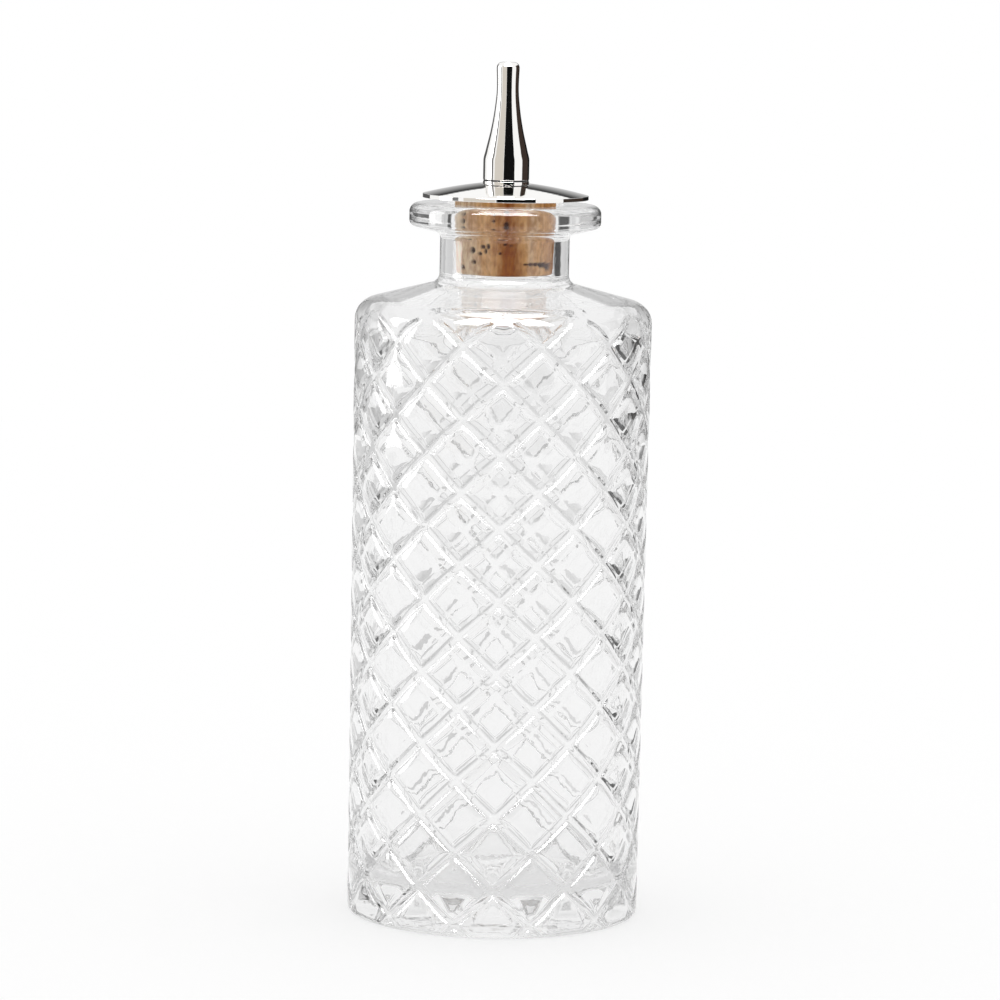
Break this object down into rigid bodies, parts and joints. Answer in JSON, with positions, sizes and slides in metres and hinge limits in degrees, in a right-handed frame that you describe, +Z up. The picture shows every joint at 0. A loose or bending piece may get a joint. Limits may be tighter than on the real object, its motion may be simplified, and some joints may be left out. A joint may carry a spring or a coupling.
{
  "type": "bitters bottle",
  "caption": "Round glass bitters bottle with a flanged neck, a cork stopper under a metal cap disc, and a screw-on tapered dashing spout.",
  "frame": {"origin": "centre of the standing face, on the axis of the bottle", "axes": "+Z up the axis of the bottle to the tip of the spout; the bottle is round, so X and Y are free, and the picture looks along +Y"},
  "size_m": [0.0574, 0.0574, 0.1655],
  "materials": {
    "clear_glass": "clear pressed glass",
    "natural_cork": "natural cork with pits and lenticels",
    "polished_steel": "mirror polished",
    "black_rubber": "matt"
  },
  "bodies": {
    "bottle": {"bottle": "clear_glass"},
    "stopper": {"cork_stopper": "natural_cork", "cap_disc": "polished_steel", "lock_ring": "polished_steel", "hollow_stem": "polished_steel", "stem_washer": "polished_steel"},
    "seal": {"seal_washer": "black_rubber"},
    "spout": {"spout": "polished_steel"}
  },
  "joints": [
    {"name": "stopper_lift", "type": "slide", "parent": "bottle", "child": "stopper", "axis": [0, 0, 1], "range_m": [0, 0.035]},
    {"name": "spout_rise", "type": "slide", "parent": "stopper", "child": "seal", "axis": [0, 0, 1], "range_m": [0, 0.00375]},
    {"name": "spout_turn", "type": "hinge", "parent": "seal", "child": "spout", "pos_m": [0, 0, 0.14298], "axis": [0, 0, 1], "range_deg": [0, 1800]}
  ],
  "couplings": [
    {"joint": "spout_turn", "follows": "spout_rise", "rad_per_m": 8377.6}
  ]
}
